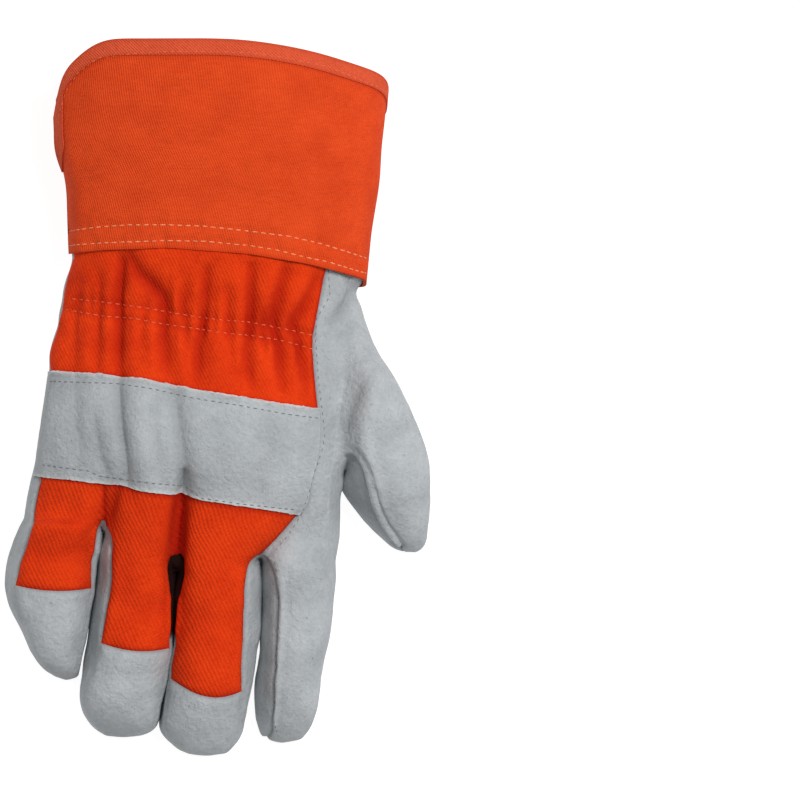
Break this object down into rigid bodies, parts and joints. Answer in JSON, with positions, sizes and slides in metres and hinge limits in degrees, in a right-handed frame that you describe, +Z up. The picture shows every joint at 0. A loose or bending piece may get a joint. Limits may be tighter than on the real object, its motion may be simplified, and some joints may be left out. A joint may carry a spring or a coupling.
{
  "type": "rigger work glove",
  "caption": "Right-hand work glove lying palm down: grey split-leather palm, index finger, thumb and knuckle strap, gathered orange cloth back, wide open canvas safety cuff.",
  "frame": {"origin": "centre of the footprint at the height of the surface that the glove lies on", "axes": "+X to the thumb side, +Y from the fingertips to the cuff mouth, +Z up out of the back of the hand"},
  "size_m": [0.1577, 0.2665, 0.0544],
  "materials": {
    "leather_grey": "grey split leather with a suede nap",
    "drill_orange": "orange cotton drill, steep twill",
    "canvas_orange": "stiff orange canvas, fine weave, brown-olive on the inside",
    "tape_orange": "light orange binding tape"
  },
  "bodies": {
    "root": {"palm": "leather_grey", "index_finger": "leather_grey", "ring_finger_front": "leather_grey", "middle_finger_front": "leather_grey", "thumb_back": "leather_grey", "thumb_front": "leather_grey", "fourchette_little_ring": "leather_grey", "fourchette_ring_middle": "leather_grey", "fourchette_middle_index": "leather_grey", "little_fingertip": "leather_grey", "ring_fingertip": "leather_grey", "middle_fingertip": "leather_grey", "knuckle_strap": "leather_grey", "vein_patch": "leather_grey", "back_cloth": "drill_orange", "little_finger_back": "drill_orange", "ring_finger_back": "drill_orange", "middle_finger_back": "drill_orange", "cuff": "canvas_orange", "cuff_binding": "tape_orange"}
  },
  "joints": []
}
